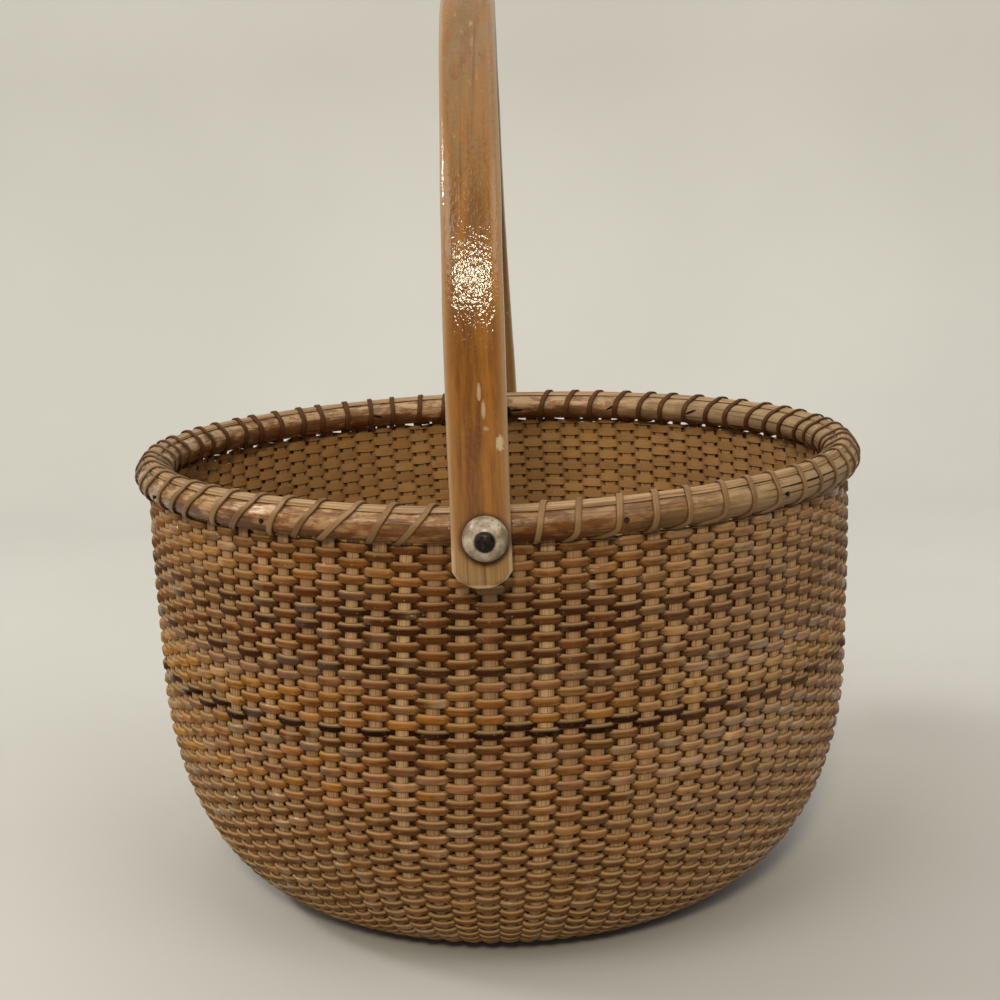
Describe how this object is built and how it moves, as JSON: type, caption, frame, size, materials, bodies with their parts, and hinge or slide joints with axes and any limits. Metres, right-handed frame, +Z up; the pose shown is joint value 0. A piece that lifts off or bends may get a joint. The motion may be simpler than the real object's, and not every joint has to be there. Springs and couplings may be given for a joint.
{
  "type": "nantucket basket",
  "caption": "Round woven basket with a turned wooden base, lashed half-round rim hoops and a bentwood handle that swings on two knobbed pins.",
  "frame": {"origin": "on the table, under the middle of the round base", "axes": "+Z up; the handle's pins lie along Y, the front one at -Y; the handle stands upright at rest and swings towards +X or -X"},
  "size_m": [0.2612, 0.287, 0.3196],
  "materials": {
    "base_wood": "turned and varnished",
    "rattan": "dry, split rattan",
    "cane_weave": "aged cane, satin",
    "hoop_wood": "varnished, worn",
    "cane_strand": "aged cane, satin",
    "handle_wood": "glossy amber varnish",
    "bone": "polished, worn",
    "dark_metal": "darkened"
  },
  "bodies": {
    "basket": {"base_plate": "base_wood", "base_plug": "base_wood", "stave_cage": "rattan", "woven_wall": "cane_weave", "outer_hoop": "hoop_wood", "inner_hoop": "hoop_wood", "rim_filler": "rattan", "rim_lashing": "cane_strand", "rim_brad_1": "dark_metal", "rim_brad_2": "dark_metal", "rim_brad_3": "dark_metal", "rim_brad_4": "dark_metal", "rim_brad_5": "dark_metal", "rim_brad_6": "dark_metal", "rim_brad_7": "dark_metal", "rim_brad_8": "dark_metal", "rim_brad_9": "dark_metal", "rim_brad_10": "dark_metal", "front_spacer_washer": "bone", "front_knob": "bone", "front_burr": "dark_metal", "front_pin": "dark_metal", "back_spacer_washer": "bone", "back_knob": "bone", "back_burr": "dark_metal", "back_pin": "dark_metal"},
    "handle": {"handle": "handle_wood"}
  },
  "joints": [
    {"name": "handle_swing", "type": "hinge", "parent": "basket", "child": "handle", "pos_m": [0, 0, 0.1517], "axis": [0, 1, 0], "range_deg": [-127, 127]}
  ]
}
